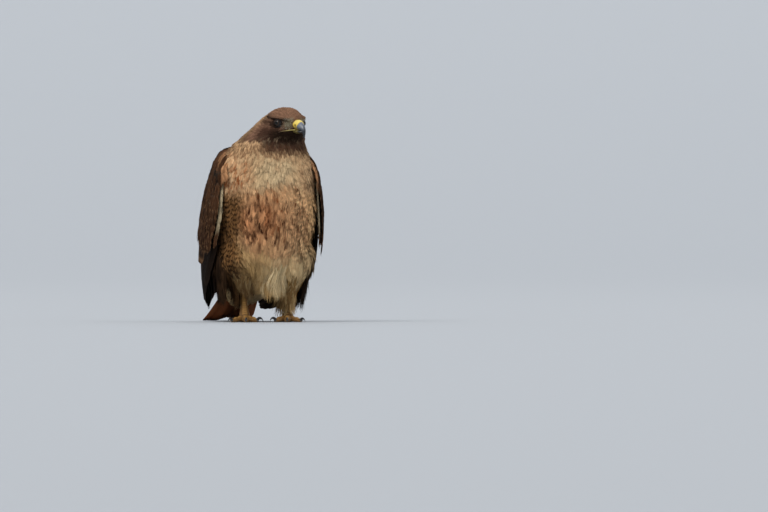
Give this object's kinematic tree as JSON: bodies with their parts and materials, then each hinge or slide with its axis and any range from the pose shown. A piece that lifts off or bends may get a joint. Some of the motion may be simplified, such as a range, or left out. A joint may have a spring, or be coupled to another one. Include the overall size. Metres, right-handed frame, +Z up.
{
  "type": "red-tailed hawk model",
  "caption": "Life-size still model of a red-tailed hawk standing upright, wings let down at its sides, head turned slightly to its left, tail laid back to the floor.",
  "frame": {"origin": "middle of the bounding box's base, on the floor under the bird", "axes": "+Z up, the bird faces -Y, its left side is +X"},
  "size_m": [0.2066, 0.3832, 0.3531],
  "materials": {
    "head_feathers": "soft matte feathers, warm brown",
    "breast_feathers": "soft matte feathers, buff with rufous and dark streaks",
    "leg_feathers": "soft matte feathers, golden buff",
    "wing_feathers": "satin feathers, dark brown with paler edges",
    "tail_feathers": "satin feathers, rufous with a dark band near the tip",
    "horn": "polished dark horn",
    "cere": "waxy yellow skin",
    "leg_scales": "scaly yellow-ochre skin",
    "eye": "wet gloss, dark brown"
  },
  "bodies": {
    "root": {"beak_lower": "horn", "beak_upper": "horn", "cere": "cere", "claw_hind_left": "horn", "claw_hind_right": "horn", "claw_inner_left": "horn", "claw_inner_right": "horn", "claw_middle_left": "horn", "claw_middle_right": "horn", "claw_outer_left": "horn", "claw_outer_right": "horn", "eye_left": "eye", "eye_right": "eye", "head": "head_feathers", "neck": "head_feathers", "shank_left": "leg_scales", "shank_right": "leg_scales", "tail": "tail_feathers", "thigh_left": "leg_feathers", "thigh_right": "leg_feathers", "toe_hind_left": "leg_scales", "toe_hind_right": "leg_scales", "toe_inner_left": "leg_scales", "toe_inner_right": "leg_scales", "toe_middle_left": "leg_scales", "toe_middle_right": "leg_scales", "toe_outer_left": "leg_scales", "toe_outer_right": "leg_scales", "torso": "breast_feathers", "undertail_coverts": "breast_feathers", "wing_left": "wing_feathers", "wing_right": "wing_feathers"}
  },
  "joints": []
}
